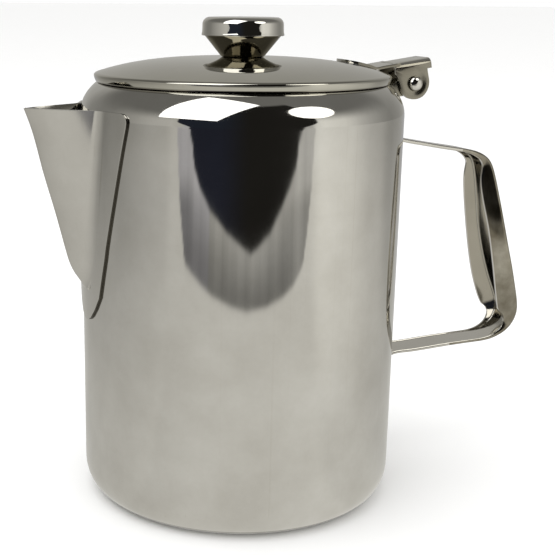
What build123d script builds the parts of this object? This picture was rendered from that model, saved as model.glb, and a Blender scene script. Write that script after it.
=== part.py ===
from build123d import *
import math
import os

# ---------------------------------------------------------------------------
# Two-litre stainless steel coffee percolator with a hinged lid.
# Millimetres. Origin on the pot's axis in the plane it stands on, +Z up,
# handle and lid hinge towards +X, spout towards -X, mirrored about the XZ plane.
# ---------------------------------------------------------------------------

# pot shell
R = 65.0            # outer radius of the wall
T = 0.8             # sheet thickness
BASE_RR = 9.65      # bottom corner, radial
BASE_RZ = 12.8      # bottom corner, height
SH_TOP = 176.29     # height that the shoulder curve aims at
SH_RR = 25.47       # shoulder curve, radial
SH_RZ = 17.74       # shoulder curve, height
NECK_R = 56.9       # outer radius of the neck
NECK_TOP = 173.1    # top edge of the neck

# lid
LID_R = 59.4        # rim radius
DOME_R = 58.65      # radius where the dome meets the rim
DOME_Z = 174.2      # height there
DOME_H = 6.2        # rise of the dome
DOME_P = 3.08       # how flat the dome's crown is
RIM_BOTTOM = 172.4

# lid hinge
PIN_X, PIN_Z = 75.0, 169.1
PIN_R = 1.6
LEAF_T = 1.1
LEAF_HALF = 7.7     # half width over the ears
LEAF_TIP = 43.0     # where the tongue ends on the lid
EAR_R = 5.9

# knob
KNOB_Z = 180.4      # foot of the knob
CONE_R0, CONE_R1, CONE_Z1 = 8.4, 15.1, 188.7
CAP_R, CAP_TOP = 16.5, 196.0

# handle, one pressed channel open towards the pot
H_T = 1.2
ARM_W = 14.9

# spout
SP_TOP = 162.0
SP_T = 0.9

# percolator works
TUBE_RO, TUBE_RI, TUBE_TOP = 4.2, 3.6, 163.0
FOOT_R, FOOT_H = 30.0, 15.0
STOP_Z = 99.0
BASKET_R, BASKET_Z0, BASKET_Z1 = 42.0, 102.0, 145.0
HOLE_R = 1.1

os.makedirs("parts", exist_ok=True)


def put(shape, name):
    solids = shape.solids()
    out = solids[0] if len(solids) == 1 else Compound(children=list(solids))
    print(name, len(solids), round(sum(s.volume for s in solids), 1))
    export_step(out, "parts/%s.step" % name)


def turn(points):
    """Solid of revolution about Z from a closed (r, z) outline."""
    pts = [Vector(r, 0, z) for r, z in points]
    face = make_face(Polyline(*pts, close=True))
    return revolve(face, axis=Axis.Z, revolution_arc=360)


def offset_path(pts, d):
    """Open (r, z) path moved sideways by d, to the left of its direction."""
    out = []
    n = len(pts)
    for i in range(n):
        a = pts[max(i - 1, 0)]
        b = pts[min(i + 1, n - 1)]
        dx, dz = b[0] - a[0], b[1] - a[1]
        length = math.hypot(dx, dz)
        out.append((pts[i][0] - d * dz / length, pts[i][1] + d * dx / length))
    return out


def sheet_turn(pts, t):
    """Revolved sheet: spline through an open (r, z) path and its offset."""
    inner = offset_path(pts, t)
    inner[0] = (max(inner[0][0], 0.0), inner[0][1])
    return turn(list(pts) + inner[::-1])


# --- pot body --------------------------------------------------------------
def ellipse_pts(cr, cz, rr, rz, a0, a1, n):
    out = []
    for i in range(n + 1):
        a = math.radians(a0 + (a1 - a0) * i / n)
        out.append((cr + rr * math.cos(a), cz + rz * math.sin(a)))
    return out


def curve_face(path_out, path_in):
    """Face in the XZ plane between two (r, z) paths made of smooth pieces."""
    def edges(path):
        es = []
        for kind, pts in path:
            v = [Vector(r, 0, z) for r, z in pts]
            if kind == "line":
                es += [Line(v[i], v[i + 1]) for i in range(len(v) - 1)]
            else:
                es.append(Spline(*v))
        return es
    e1, e2 = edges(path_out), edges(path_in)
    a0 = Vector(path_out[0][1][0][0], 0, path_out[0][1][0][1])
    a1 = Vector(path_out[-1][1][-1][0], 0, path_out[-1][1][-1][1])
    b0 = Vector(path_in[0][1][0][0], 0, path_in[0][1][0][1])
    b1 = Vector(path_in[-1][1][-1][0], 0, path_in[-1][1][-1][1])
    return make_face(Wire(e1 + e2 + [Line(a0, b0), Line(a1, b1)]))


neck_a = math.degrees(math.acos((NECK_R + 0.9 - (R - SH_RR)) / SH_RR))
sh_out = ellipse_pts(R - SH_RR, SH_TOP - SH_RZ, SH_RR, SH_RZ, 0, neck_a, 14)
sh_in = ellipse_pts(R - SH_RR, SH_TOP - SH_RZ, SH_RR - T, SH_RZ - T, 0, neck_a + 1.5, 14)
z_sh = sh_out[-1][1]
z_shi = sh_in[-1][1]
body_out = [
    ("line", [(0, 0.0), (R - BASE_RR, 0.0)]),
    ("curve", ellipse_pts(R - BASE_RR, BASE_RZ, BASE_RR, BASE_RZ, -90, 0, 10)),
    ("line", [(R, BASE_RZ), (R, SH_TOP - SH_RZ)]),
    ("curve", sh_out),
    ("line", [sh_out[-1], (NECK_R, z_sh + 0.9), (NECK_R, NECK_TOP)]),
]
body_in = [
    ("line", [(0, 0.9 + T), (44.3, 0.9 + T), (45.5, T), (R - BASE_RR, T)]),
    ("curve", ellipse_pts(R - BASE_RR, BASE_RZ, BASE_RR - T, BASE_RZ - T, -90, 0, 10)),
    ("line", [(R - T, BASE_RZ), (R - T, SH_TOP - SH_RZ)]),
    ("curve", sh_in),
    ("line", [sh_in[-1], (NECK_R - T, z_shi + 0.8), (NECK_R - T, NECK_TOP)]),
]
pot_body = revolve(curve_face(body_out, body_in), axis=Axis.Z, revolution_arc=360)


# --- spout -----------------------------------------------------------------
# The front ridge leans out from the pot, and the side walls open towards it.
RIDGE = [(62.0, 84.0), (65.9, 90.2), (70.6, 97.1), (73.9, 106.3), (78.0, 122.6), (82.4, 138.8), (86.3, 154.5), (89.3, 163.0)]
SIDE = [(0.6, 84.0), (3.0, 90.2), (6.2, 97.1), (9.3, 106.3), (12.0, 122.6), (14.3, 138.8), (16.6, 154.5), (17.8, 163.0)]


def interp(table, z):
    for i in range(len(table) - 1):
        v0, z0 = table[i]
        v1, z1 = table[i + 1]
        if z <= z1 or i == len(table) - 2:
            return v0 + (v1 - v0) * (z - z0) / (z1 - z0)


def natural(table):
    """Natural cubic spline v(z) through rows (v, z)."""
    z = [q[1] for q in table]
    v = [q[0] for q in table]
    n = len(z)
    h = [z[i + 1] - z[i] for i in range(n - 1)]
    lo, di, up, rhs = [0.0] * n, [1.0] * n, [0.0] * n, [0.0] * n
    for i in range(1, n - 1):
        lo[i], di[i], up[i] = h[i - 1], 2 * (h[i - 1] + h[i]), h[i]
        rhs[i] = 6 * ((v[i + 1] - v[i]) / h[i] - (v[i] - v[i - 1]) / h[i - 1])
    for i in range(1, n):
        k = lo[i] / di[i - 1]
        di[i] -= k * up[i - 1]
        rhs[i] -= k * rhs[i - 1]
    m = [0.0] * n
    m[-1] = rhs[-1] / di[-1]
    for i in range(n - 2, -1, -1):
        m[i] = (rhs[i] - up[i] * m[i + 1]) / di[i]

    def f(t):
        t = min(max(t, z[0]), z[-1])
        i = max(k for k in range(n - 1) if z[k] <= t + 1e-12)
        p, q = (z[i + 1] - t) / h[i], (t - z[i]) / h[i]
        return p * v[i] + q * v[i + 1] + ((p ** 3 - p) * m[i] + (q ** 3 - q) * m[i + 1]) * h[i] ** 2 / 6
    return f


ridge_at, side_at = natural(RIDGE), natural(SIDE)
SP_OUT = R + 0.06 + SP_T        # outer face of the flange that lies on the pot


def cone_r(phi, z):
    """Distance from the pot's axis to the spout's wall in the direction phi off the spout's own."""
    ridge, side = ridge_at(z), side_at(z)
    if z < RIDGE[0][1]:
        return 0.0
    span = ridge - math.sqrt(max(66.1 ** 2 - side ** 2, 1))
    if span < 0.05:
        return 0.0
    t = math.tan(abs(phi))
    lo, hi = 0.0, 1.6
    if side * hi ** 0.8 < t * (ridge - span * hi):
        return 0.0
    for _ in range(44):
        mid = (lo + hi) / 2
        if side * mid ** 0.8 < t * (ridge - span * mid):
            lo = mid
        else:
            hi = mid
    x = ridge - span * (lo + hi) / 2
    return math.hypot(x, t * x)


def soft_max(a, b, k):
    h = max(k - abs(a - b), 0.0) / k
    return max(a, b) + h * h * k * 0.25


# half angle of the flange round the pot, by height
FLANGE = [(0.8, 77.35), (3.2, 78.0), (5.6, 79.6), (9.2, 83.6), (12.6, 89.0), (16.6, 105.0), (17.6, 110.0), (22.2, 129.2), (26.4, 147.7), (28.6, 157.0), (28.9, 159.0), (28.5, 160.6), (27.2, 161.7), (26.2, 162.0)]
SP_LEVELS = [77.35, 77.6, 78.0, 78.7, 79.6, 81.4, 83.6, 86.0, 89.0, 92.5, 96.5, 101.0, 106.0, 112.0, 119.0, 126.0, 133.0, 140.0, 147.5, 154.0, 157.5, 159.5, 160.8, 161.6, SP_TOP]


def spout_section(z):
    a_max = math.radians(interp(FLANGE, z))
    n = 26
    outer = []
    for i in range(-n, n + 1):
        w = i / n
        phi = math.copysign(abs(w) ** 1.4, w) * a_max
        r = soft_max(SP_OUT, cone_r(phi, z), 2.6)
        outer.append((r * math.cos(phi), r * math.sin(phi)))
    inner = []
    for i in range(len(outer)):
        a, b = outer[max(i - 1, 0)], outer[min(i + 1, len(outer) - 1)]
        dx, dy = b[0] - a[0], b[1] - a[1]
        ln = math.hypot(dx, dy)
        x, y = outer[i][0] - SP_T * dy / ln, outer[i][1] + SP_T * dx / ln
        r = math.hypot(x, y)
        k = max(1.0, (R + 0.05) / r)
        inner.append((x * k, y * k))
    o = [Vector(-x, y, z) for x, y in outer]
    i2 = [Vector(-x, y, z) for x, y in inner]
    return Wire([Spline(*o), Line(o[-1], i2[-1]), Spline(*i2[::-1]), Line(i2[0], o[0])])


spout = Solid.make_loft([spout_section(z) for z in SP_LEVELS], ruled=True)

# strainer holes in the wall behind the spout
holes = []
for row, z in enumerate([104, 112, 120, 128, 136, 144, 152]):
    half = interp(SIDE, z) * 0.62
    n = 1 + 2 * int(half / 5.2) if row % 2 == 0 else 2 * max(1, int((half + 2.6) / 5.2))
    for i in range(n):
        y = (i - (n - 1) / 2.0) * 5.2
        holes.append(Pos(-R, y, z) * Rot(0, 90, 0) * Cylinder(1.6, 12))
pot_body = pot_body - holes

# --- handle ----------------------------------------------------------------
# outer line of the web (x, z), from the upper weld round to the lower one
WEB = [(66.3, 150.6), (68.4, 147.6), (72.5, 146.0), (79.5, 144.7), (91.8, 142.5), (102.3, 140.8), (109.4, 139.0), (114.4, 135.6), (117.0, 130.0), (118.9, 122.8), (122.2, 108.0), (125.7, 94.4), (127.9, 87.0), (131.1, 77.0), (133.4, 70.0), (134.0, 65.5), (132.6, 60.3), (128.4, 55.8), (121.9, 53.3), (113.5, 52.6), (94.4, 51.8), (78.0, 51.0), (71.5, 50.5), (68.4, 49.0), (66.3, 46.2)]
# depth of the flanges and width of the channel at the same stations
DEEP = [1.2, 1.2, 1.2, 1.25, 1.35, 1.6, 2.6, 4.4, 6.7, 7.8, 7.9, 8.6, 9.2, 9.8, 9.7, 8.4, 5.6, 3.2, 1.9, 1.45, 1.3, 1.3, 1.2, 1.2, 1.2]
WIDE = [14.9, 14.9, 14.9, 14.9, 14.9, 14.9, 15.4, 16.2, 17.4, 19.0, 22.6, 24.0, 23.9, 22.0, 19.6, 18.2, 16.8, 15.8, 15.2, 14.9, 14.9, 14.9, 14.9, 14.9, 14.9]


def path_normals(pts):
    out = []
    for i in range(len(pts)):
        a, b = pts[max(i - 1, 0)], pts[min(i + 1, len(pts) - 1)]
        dx, dz = b[0] - a[0], b[1] - a[1]
        ln = math.hypot(dx, dz)
        out.append((dz / ln, -dx / ln))        # points into the loop
    return out


normals = path_normals(WEB)


def handle_prism(depths, half, y0, y1):
    outer = [Vector(x, 0, z) for x, z in WEB]
    inner = [Vector(x + n[0] * d, 0, z + n[1] * d) for (x, z), n, d in zip(WEB, normals, depths)]
    w = Wire([Spline(*outer), Line(outer[-1], inner[-1]), Spline(*inner[::-1]), Line(inner[0], outer[0])])
    return extrude(make_face(w), amount=half, dir=(0, 1, 0))


# plan widths as a solid seen along X and Z is awkward, so the channel is lofted from sections
def channel_section(i):
    x, z = WEB[i]
    nx, nz = normals[i]
    d, w = max(DEEP[i], H_T + 0.3), WIDE[i] / 2.0
    r = min(1.8, max(d - 0.6, 0.5))         # outer bend from the web into each flange
    ri = max(r - H_T, 0.25)

    def P(u, v):    # u into the loop, v along Y; the flanges lean in towards each other
        v *= 1 - 0.22 * u / w
        return Vector(x + nx * u, v, z + nz * u)
    turn_ = [math.radians(t) for t in (0, 22.5, 45, 67.5, 90)]
    pts = [P(d, -w)] + [P(r - r * math.sin(t), -w + r - r * math.cos(t)) for t in turn_]
    pts += [P(r - r * math.cos(t), w - r + r * math.sin(t)) for t in turn_] + [P(d, w), P(d, w - H_T)]
    pts += [P(H_T + ri - ri * math.sin(t), w - H_T - ri + ri * math.cos(t)) for t in turn_]
    pts += [P(H_T + ri - ri * math.cos(t), -w + H_T + ri - ri * math.sin(t)) for t in turn_] + [P(d, -w + H_T)]
    return Wire(Polyline(*pts, close=True).edges())


handle = Solid.make_loft([channel_section(i) for i in range(len(WEB))])

# --- lid -------------------------------------------------------------------
def dome_z(r):
    return DOME_Z + DOME_H * (1 - (r / DOME_R) ** DOME_P)


dome_out = [(r, dome_z(r)) for r in (0.0, 8, 16, 24, 31, 37, 42, 46.5, 50.5, 54, 57)]
dome_in = [(r, dome_z(r) - T * 1.02) for r in (0.0, 8, 16, 24, 31, 37, 42, 46.5, 50.5, 54, 56.6)]
rim_out = [(57.0, dome_z(57.0)), (58.2, dome_z(57.0) - 0.42), (58.9, dome_z(57.0) - 0.55), (LID_R, dome_z(57.0) - 1.15), (LID_R, RIM_BOTTOM + 0.5), (59.15, RIM_BOTTOM + 0.08), (58.7, RIM_BOTTOM), (58.3, RIM_BOTTOM + 0.1), (58.1, RIM_BOTTOM + 0.5)]
rim_in = [(56.6, dome_z(56.6) - T * 1.02), (57.6, dome_z(57.0) - 1.18), (58.1, dome_z(57.0) - 1.25)]
lid_face = curve_face([("curve", dome_out), ("line", rim_out)], [("curve", dome_in), ("line", rim_in)])
lid_shell = revolve(lid_face, axis=Axis.Z, revolution_arc=360)
lid_shell = lid_shell - Pos(0, 0, 170) * Cylinder(2.7, 30)

SK_RO, SK_T = 55.4, 0.7
lid_skirt = turn([(SK_RO - SK_T, 166.6), (SK_RO, 166.9), (SK_RO, dome_z(55.4) - 1.95), (SK_RO - 0.2, dome_z(55.0) - 1.15), (SK_RO - 5.2, dome_z(50.2) - 0.95), (SK_RO - 5.2, dome_z(50.2) - 1.6), (SK_RO - 1.0, dome_z(54.4) - 1.95), (SK_RO - SK_T, dome_z(54.4) - 2.3)])

# --- lid hinge -------------------------------------------------------------
# leaf: tongue on the lid, step over the rim, arched saddle with an ear on each side of the bracket
LIFT = 0.12
tongue_r = [LEAF_TIP, 46, 49, 51.5, 54, 56.5]
low = [(r, dome_z(r) + LIFT) for r in tongue_r] + [(59.0, dome_z(56.5) + 0.42), (61.8, dome_z(56.5) + 0.86), (65.2, dome_z(56.5) + 1.36), (67.5, dome_z(56.5) + 1.72)]
high = offset_path(low, LEAF_T)
tongue_face = make_face(Wire([Spline(*[Vector(x, 0, z) for x, z in low]), Line(Vector(low[-1][0], 0, low[-1][1]), Vector(high[-1][0], 0, high[-1][1])),
                              Spline(*[Vector(x, 0, z) for x, z in high[::-1]]), Line(Vector(high[0][0], 0, high[0][1]), Vector(low[0][0], 0, low[0][1]))]))
tongue = extrude(tongue_face, amount=LEAF_HALF, dir=(0, 1, 0)) + extrude(tongue_face, amount=LEAF_HALF, dir=(0, -1, 0))
tip_keep = Pos(LEAF_TIP + 5 + 30, 0, 178) * Box(60, 30, 30) + Pos(LEAF_TIP + 5, 0, 160) * extrude(make_face(Ellipse(5, LEAF_HALF)), amount=40, dir=(0, 0, 1))
tongue = tongue & tip_keep
S0, S1 = Vector(65.2, 0, 177.45), Vector(81.6, 0, 179.75)      # crown line of the saddle
saddle_plane = Plane(origin=S0, x_dir=(0, 1, 0), z_dir=(S1 - S0).normalized())
outer_u = Rectangle(2 * LEAF_HALF, 4.2, align=(Align.CENTER, Align.MAX))
outer_u = fillet(outer_u.vertices().group_by(Axis.Y)[-1], 2.8)
inner_u = Pos(0, -LEAF_T) * Rectangle(2 * (LEAF_HALF - LEAF_T), 5, align=(Align.CENTER, Align.MAX))
inner_u = fillet(inner_u.vertices().group_by(Axis.Y)[-1], 1.7)
saddle = extrude(saddle_plane * (outer_u - inner_u), amount=(S1 - S0).length)
ear_profile = make_face(Wire([
    Spline(Vector(65.4, 0, 174.9), Vector(65.8, 0, 172.6), Vector(67.0, 0, 170.4), Vector(67.9, 0, 168.2), Vector(68.9, 0, 165.2), Vector(71.0, 0, 163.4), Vector(74.6, 0, 162.6),
           Vector(78.4, 0, 163.6), Vector(80.7, 0, 166.3), Vector(81.4, 0, 169.3), Vector(80.9, 0, 172.2), Vector(80.3, 0, 174.6), Vector(80.2, 0, 176.6)),
    Line(Vector(80.2, 0, 176.6), Vector(65.4, 0, 174.9))]))
ear_a = Pos(0, LEAF_HALF - LEAF_T, 0) * extrude(ear_profile, amount=LEAF_T, dir=(0, 1, 0))
ear_b = Pos(0, -LEAF_HALF, 0) * extrude(ear_profile, amount=LEAF_T, dir=(0, 1, 0))
pin_bore = Pos(PIN_X, 0, PIN_Z) * Rot(90, 0, 0) * Cylinder(PIN_R + 0.06, 40)
lid_clear = revolve(make_face(Wire([Spline(*[Vector(r, 0, z + 0.06) for r, z in dome_out])] +
                                   list(Polyline(*[Vector(r, 0, z) for r, z in ((57.0, dome_z(57) + 0.06), (58.5, dome_z(57) - 0.25), (LID_R + 0.3, dome_z(57) - 0.9), (LID_R + 0.3, 170), (0, 170), (0, dome_z(0) + 0.06))]).edges()))),
                    axis=Axis.Z, revolution_arc=360)
dish = Pos(0, 0, LEAF_HALF - 0.3) * Cone(3.2, 5.6, 0.4, align=(Align.CENTER, Align.CENTER, Align.MIN))
dishes = Pos(PIN_X, 0, PIN_Z) * Rot(90, 0, 0) * (dish + dish.mirror(Plane.XY))
hinge_leaf = (tongue + saddle + ear_a + ear_b) - pin_bore - dishes - lid_clear

# bracket: pressed U welded to the shoulder, its two lugs between the leaf's ears
LUG_O, LUG_T = 6.1, 1.2
lug_profile = make_face(Wire([
    Spline(Vector(63.2, 0, 163.2), Vector(66.5, 0, 163.6), Vector(70.5, 0, 163.9), Vector(75.2, 0, 164.3), Vector(79.0, 0, 166.6), Vector(79.8, 0, 170.0),
           Vector(77.9, 0, 173.2), Vector(74.4, 0, 173.9), Vector(70.4, 0, 172.3), Vector(66.6, 0, 169.6), Vector(62.2, 0, 168.6)),
    Line(Vector(62.2, 0, 168.6), Vector(63.2, 0, 163.2))]))
lug_a = Pos(0, LUG_O - LUG_T, 0) * extrude(lug_profile, amount=LUG_T, dir=(0, 1, 0))
lug_b = Pos(0, -LUG_O, 0) * extrude(lug_profile, amount=LUG_T, dir=(0, 1, 0))
plate_out = [(r + 1.25 * math.cos(math.radians(a)), z + 1.25 * math.sin(math.radians(a))) for (r, z), a in
             zip(ellipse_pts(R - SH_RR, SH_TOP - SH_RZ, SH_RR, SH_RZ, -6, 40, 10), [0, 3, 8, 14, 20, 26, 32, 38, 44, 50, 55])]
plate_in = [(r + 0.05 * math.cos(math.radians(a)), z + 0.05 * math.sin(math.radians(a))) for (r, z), a in
            zip(ellipse_pts(R - SH_RR, SH_TOP - SH_RZ, SH_RR, SH_RZ, -6, 40, 10), [0, 3, 8, 14, 20, 26, 32, 38, 44, 50, 55])]
plate_out = [(max(r, R + 1.25) if z < SH_TOP - SH_RZ + 0.3 else r, z) for r, z in plate_out]
plate_in = [(max(r, R + 0.05) if z < SH_TOP - SH_RZ + 0.3 else r, z) for r, z in plate_in]
plate_face = make_face(Wire([Spline(*[Vector(r, 0, z) for r, z in plate_out]), Line(Vector(plate_out[-1][0], 0, plate_out[-1][1]), Vector(plate_in[-1][0], 0, plate_in[-1][1])),
                             Spline(*[Vector(r, 0, z) for r, z in plate_in[::-1]]), Line(Vector(plate_in[0][0], 0, plate_in[0][1]), Vector(plate_out[0][0], 0, plate_out[0][1]))]))
plate = revolve(plate_face, axis=Axis.Z, revolution_arc=16).rotate(Axis.Z, -8)
body_keepout = revolve(make_face(Wire([Spline(*[Vector(r + 0.05, 0, z) for r, z in sh_out]), Line(Vector(sh_out[-1][0] + 0.05, 0, z_sh), Vector(0, 0, z_sh)), Line(Vector(0, 0, z_sh), Vector(0, 0, 140)),
                                       Line(Vector(0, 0, 140), Vector(R + 0.05, 0, 140)), Line(Vector(R + 0.05, 0, 140), Vector(R + 0.05, 0, SH_TOP - SH_RZ))])), axis=Axis.Z, revolution_arc=360)
hinge_bracket = (lug_a + lug_b - body_keepout + plate) - Pos(PIN_X, 0, PIN_Z) * Rot(90, 0, 0) * Cylinder(PIN_R, 40)

# pin: shank through lugs and ears, a domed head at each end
HEAD_R, HEAD_H = 3.1, 1.7
head_prof = make_face(Wire([Spline(Vector(0, 0, LEAF_HALF + 0.12 + HEAD_H), Vector(HEAD_R * 0.55, 0, LEAF_HALF + 0.12 + HEAD_H * 0.86), Vector(HEAD_R * 0.87, 0, LEAF_HALF + 0.12 + HEAD_H * 0.5), Vector(HEAD_R, 0, LEAF_HALF + 0.12)),
                            Line(Vector(HEAD_R, 0, LEAF_HALF + 0.12), Vector(0, 0, LEAF_HALF + 0.12)), Line(Vector(0, 0, LEAF_HALF + 0.12), Vector(0, 0, LEAF_HALF + 0.12 + HEAD_H))]))
head = revolve(head_prof, axis=Axis.Z, revolution_arc=360)
shank = Cylinder(PIN_R, 2 * (LEAF_HALF + 0.12))
pin = shank + head + head.mirror(Plane.XY)
hinge_pin = Pos(PIN_X, 0, PIN_Z) * Rot(90, 0, 0) * pin

# --- knob ------------------------------------------------------------------
cone_t = 0.8
kz = KNOB_Z + 0.06
knob_cone = turn([(2.7, kz), (CONE_R0, kz), (CONE_R0 + 0.35, kz + 0.25), (CONE_R1, CONE_Z1 - 0.3), (CONE_R1 + 0.1, CONE_Z1 + 0.9), (CONE_R1 - 0.8, CONE_Z1 + 0.9), (CONE_R1 - 0.95, CONE_Z1), (CONE_R0 - 0.25, kz + cone_t), (2.7, kz + cone_t)])
knob_cap = turn([(0, CAP_TOP), (13.2, CAP_TOP - 0.15), (14.7, CAP_TOP - 0.55), (15.7, CAP_TOP - 1.4), (16.15, CAP_TOP - 2.6), (16.25, CAP_TOP - 5.5), (CAP_R, CONE_Z1 + 0.35), (16.3, CONE_Z1),
                 (15.28, CONE_Z1 + 0.12), (15.28, CONE_Z1 + 0.9), (15.4, CAP_TOP - 2.7), (15.0, CAP_TOP - 1.8), (14.3, CAP_TOP - 1.3), (13.0, CAP_TOP - 0.95), (0, CAP_TOP - 0.8)])
knob_bush = Pos(0, 0, kz + cone_t + 0.02) * (Cylinder(5.0, 8.0, align=(Align.CENTER, Align.CENTER, Align.MIN)) - Cylinder(2.0, 8.0, align=(Align.CENTER, Align.CENTER, Align.MIN)))
under = dome_z(0) - T * 1.02 - 0.02
knob_washer = Pos(0, 0, under - 0.9) * (Cylinder(6.0, 0.8, align=(Align.CENTER, Align.CENTER, Align.MIN)) - Cylinder(2.3, 0.8, align=(Align.CENTER, Align.CENTER, Align.MIN)))
screw_head = turn([(0, under - 3.2), (2.6, under - 3.1), (3.6, under - 2.5), (3.9, under - 1.6), (3.9, under - 0.92), (0, under - 0.92)])
slot = Pos(0, 0, under - 3.2) * Box(9, 0.9, 1.9)
knob_screw = screw_head - slot + Pos(0, 0, under - 0.92) * Cylinder(2.0, kz + cone_t + 6.0 - under + 0.92, align=(Align.CENTER, Align.CENTER, Align.MIN))

# --- percolator works ------------------------------------------------------
floor_z = 0.9 + T
foot_z = floor_z + 0.05
tube_z0 = foot_z + 3.0
pump_tube = Pos(0, 0, tube_z0) * (Cylinder(TUBE_RO, TUBE_TOP - tube_z0, align=(Align.CENTER, Align.CENTER, Align.MIN)) - Cylinder(TUBE_RI, TUBE_TOP - tube_z0, align=(Align.CENTER, Align.CENTER, Align.MIN)))
ft = 0.8
foot_out = [(FOOT_R, foot_z), (FOOT_R, foot_z + 2.4), (FOOT_R - 1.2, foot_z + 4.0), (22, foot_z + 6.8), (13, foot_z + 9.2), (8.0, foot_z + 11.2), (5.3, foot_z + FOOT_H), (5.3, foot_z + FOOT_H + 6)]
foot_in = [(TUBE_RO + 0.01, foot_z + FOOT_H + 6), (TUBE_RO + 0.01, foot_z + FOOT_H), (TUBE_RO + 0.01, foot_z + 10.6), (12.5, foot_z + 8.3), (21.6, foot_z + 5.9), (FOOT_R - 1.8, foot_z + 3.4), (FOOT_R - ft, foot_z + 2.2), (FOOT_R - ft, foot_z)]
pump_foot = turn(foot_out + foot_in)
for k in range(6):
    pump_foot = pump_foot - Rot(0, 0, 60 * k) * Pos(FOOT_R, 0, foot_z + 0.4) * Box(6, 6, 2.4)
basket_stop = Pos(0, 0, STOP_Z) * (Cylinder(7.2, 2.2, align=(Align.CENTER, Align.CENTER, Align.MIN)) - Cylinder(TUBE_RO + 0.01, 2.2, align=(Align.CENTER, Align.CENTER, Align.MIN)))
bt = 0.7
bz = STOP_Z + 2.2 + 0.05
basket = turn([(5.0, bz), (BASKET_R - 3.5, bz), (BASKET_R - 1.0, bz + 1.0), (BASKET_R, bz + 3.5), (BASKET_R, BASKET_Z1 - 1.4), (BASKET_R + 1.3, BASKET_Z1 - 0.9), (BASKET_R + 1.3, BASKET_Z1 - 0.2),
               (BASKET_R - bt, BASKET_Z1 - 0.2), (BASKET_R - bt, bz + 3.7), (BASKET_R - 1.6, bz + 1.6), (BASKET_R - 3.8, bz + bt), (5.0, bz + bt)])
cut = []
for ring_r, n in ((10, 10), (15.5, 16), (21, 22), (26.5, 28), (32, 34)):
    for i in range(n):
        a = 360.0 * i / n + ring_r
        cut.append(Pos(ring_r * math.cos(math.radians(a)), ring_r * math.sin(math.radians(a)), bz) * Cylinder(HOLE_R, 6))
basket = basket - cut
side_cut = []
for row in range(3):
    for i in range(30):
        a = 12.0 * i + 6 * (row % 2)
        side_cut.append(Rot(0, 0, a) * Pos(BASKET_R, 0, bz + 8 + 5.5 * row) * Rot(0, 90, 0) * Cylinder(HOLE_R, 6))
basket = basket - side_cut
basket_sleeve = turn([(TUBE_RO + 0.35, bz - 0.0), (4.96, bz - 0.0), (4.96, bz + bt + 0.02), (6.6, bz + bt + 0.02), (6.6, bz + bt + 0.7), (5.2, bz + bt + 0.9), (5.2, bz + 32), (TUBE_RO + 0.35, bz + 32)])
sp_z = BASKET_Z1 - 0.15
spreader = turn([(TUBE_RO + 0.6, sp_z + 1.2), (6.2, sp_z + 1.2), (9.5, sp_z - 1.6), (38.5, sp_z - 1.6), (40.7, sp_z), (BASKET_R + 1.6, sp_z), (BASKET_R + 1.6, sp_z + 0.7), (40.4, sp_z + 0.7), (38.2, sp_z - 0.9),
                 (9.8, sp_z - 0.9), (6.6, sp_z + 1.9), (TUBE_RO + 0.6, sp_z + 1.9)])
cut = []
for ring_r, n in ((13.5, 12), (19, 18), (24.5, 24), (30, 30), (35.5, 36)):
    for i in range(n):
        a = 360.0 * i / n
        cut.append(Pos(ring_r * math.cos(math.radians(a)), ring_r * math.sin(math.radians(a)), sp_z) * Cylinder(HOLE_R * 0.9, 8))
spreader = spreader - cut

for name, shape in (("pot_body", pot_body), ("spout", spout), ("handle", handle), ("hinge_bracket", hinge_bracket), ("hinge_pin", hinge_pin),
                    ("lid_shell", lid_shell), ("lid_skirt", lid_skirt), ("hinge_leaf", hinge_leaf), ("knob_cone", knob_cone), ("knob_cap", knob_cap),
                    ("knob_bush", knob_bush), ("knob_washer", knob_washer), ("knob_screw", knob_screw), ("pump_tube", pump_tube), ("pump_foot", pump_foot),
                    ("basket_stop", basket_stop), ("basket", basket), ("basket_sleeve", basket_sleeve), ("spreader", spreader)):
    put(shape, name)
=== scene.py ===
import bpy, bmesh, math
import numpy as np
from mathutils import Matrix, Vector


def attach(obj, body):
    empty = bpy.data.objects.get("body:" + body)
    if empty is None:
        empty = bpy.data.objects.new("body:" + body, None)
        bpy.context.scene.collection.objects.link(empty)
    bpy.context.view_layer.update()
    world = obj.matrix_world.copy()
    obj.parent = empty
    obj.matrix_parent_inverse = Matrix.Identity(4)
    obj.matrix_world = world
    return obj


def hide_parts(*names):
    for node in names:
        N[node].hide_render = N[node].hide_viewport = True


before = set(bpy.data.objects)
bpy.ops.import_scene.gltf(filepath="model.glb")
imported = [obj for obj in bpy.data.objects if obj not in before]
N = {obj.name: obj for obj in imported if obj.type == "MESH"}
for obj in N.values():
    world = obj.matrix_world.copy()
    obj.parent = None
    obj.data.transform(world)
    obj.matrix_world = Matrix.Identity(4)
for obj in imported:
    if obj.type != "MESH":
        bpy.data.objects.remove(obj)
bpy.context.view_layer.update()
MM = 0.001

# ------------------------------------------------------------------ helpers


def new_object(name, verts, faces, smooth=True, sharp=35.0):
    me = bpy.data.meshes.new(name)
    me.from_pydata([tuple(float(c) * MM for c in v) for v in verts], [], faces)
    me.validate()
    bm = bmesh.new()
    bm.from_mesh(me)
    bmesh.ops.remove_doubles(bm, verts=bm.verts, dist=1e-7)
    bmesh.ops.recalc_face_normals(bm, faces=bm.faces)
    bm.to_mesh(me)
    bm.free()
    if smooth:
        me.shade_smooth()
        me.set_sharp_from_angle(angle=math.radians(sharp))
    o = bpy.data.objects.new(name, me)
    bpy.context.scene.collection.objects.link(o)
    return o


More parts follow.
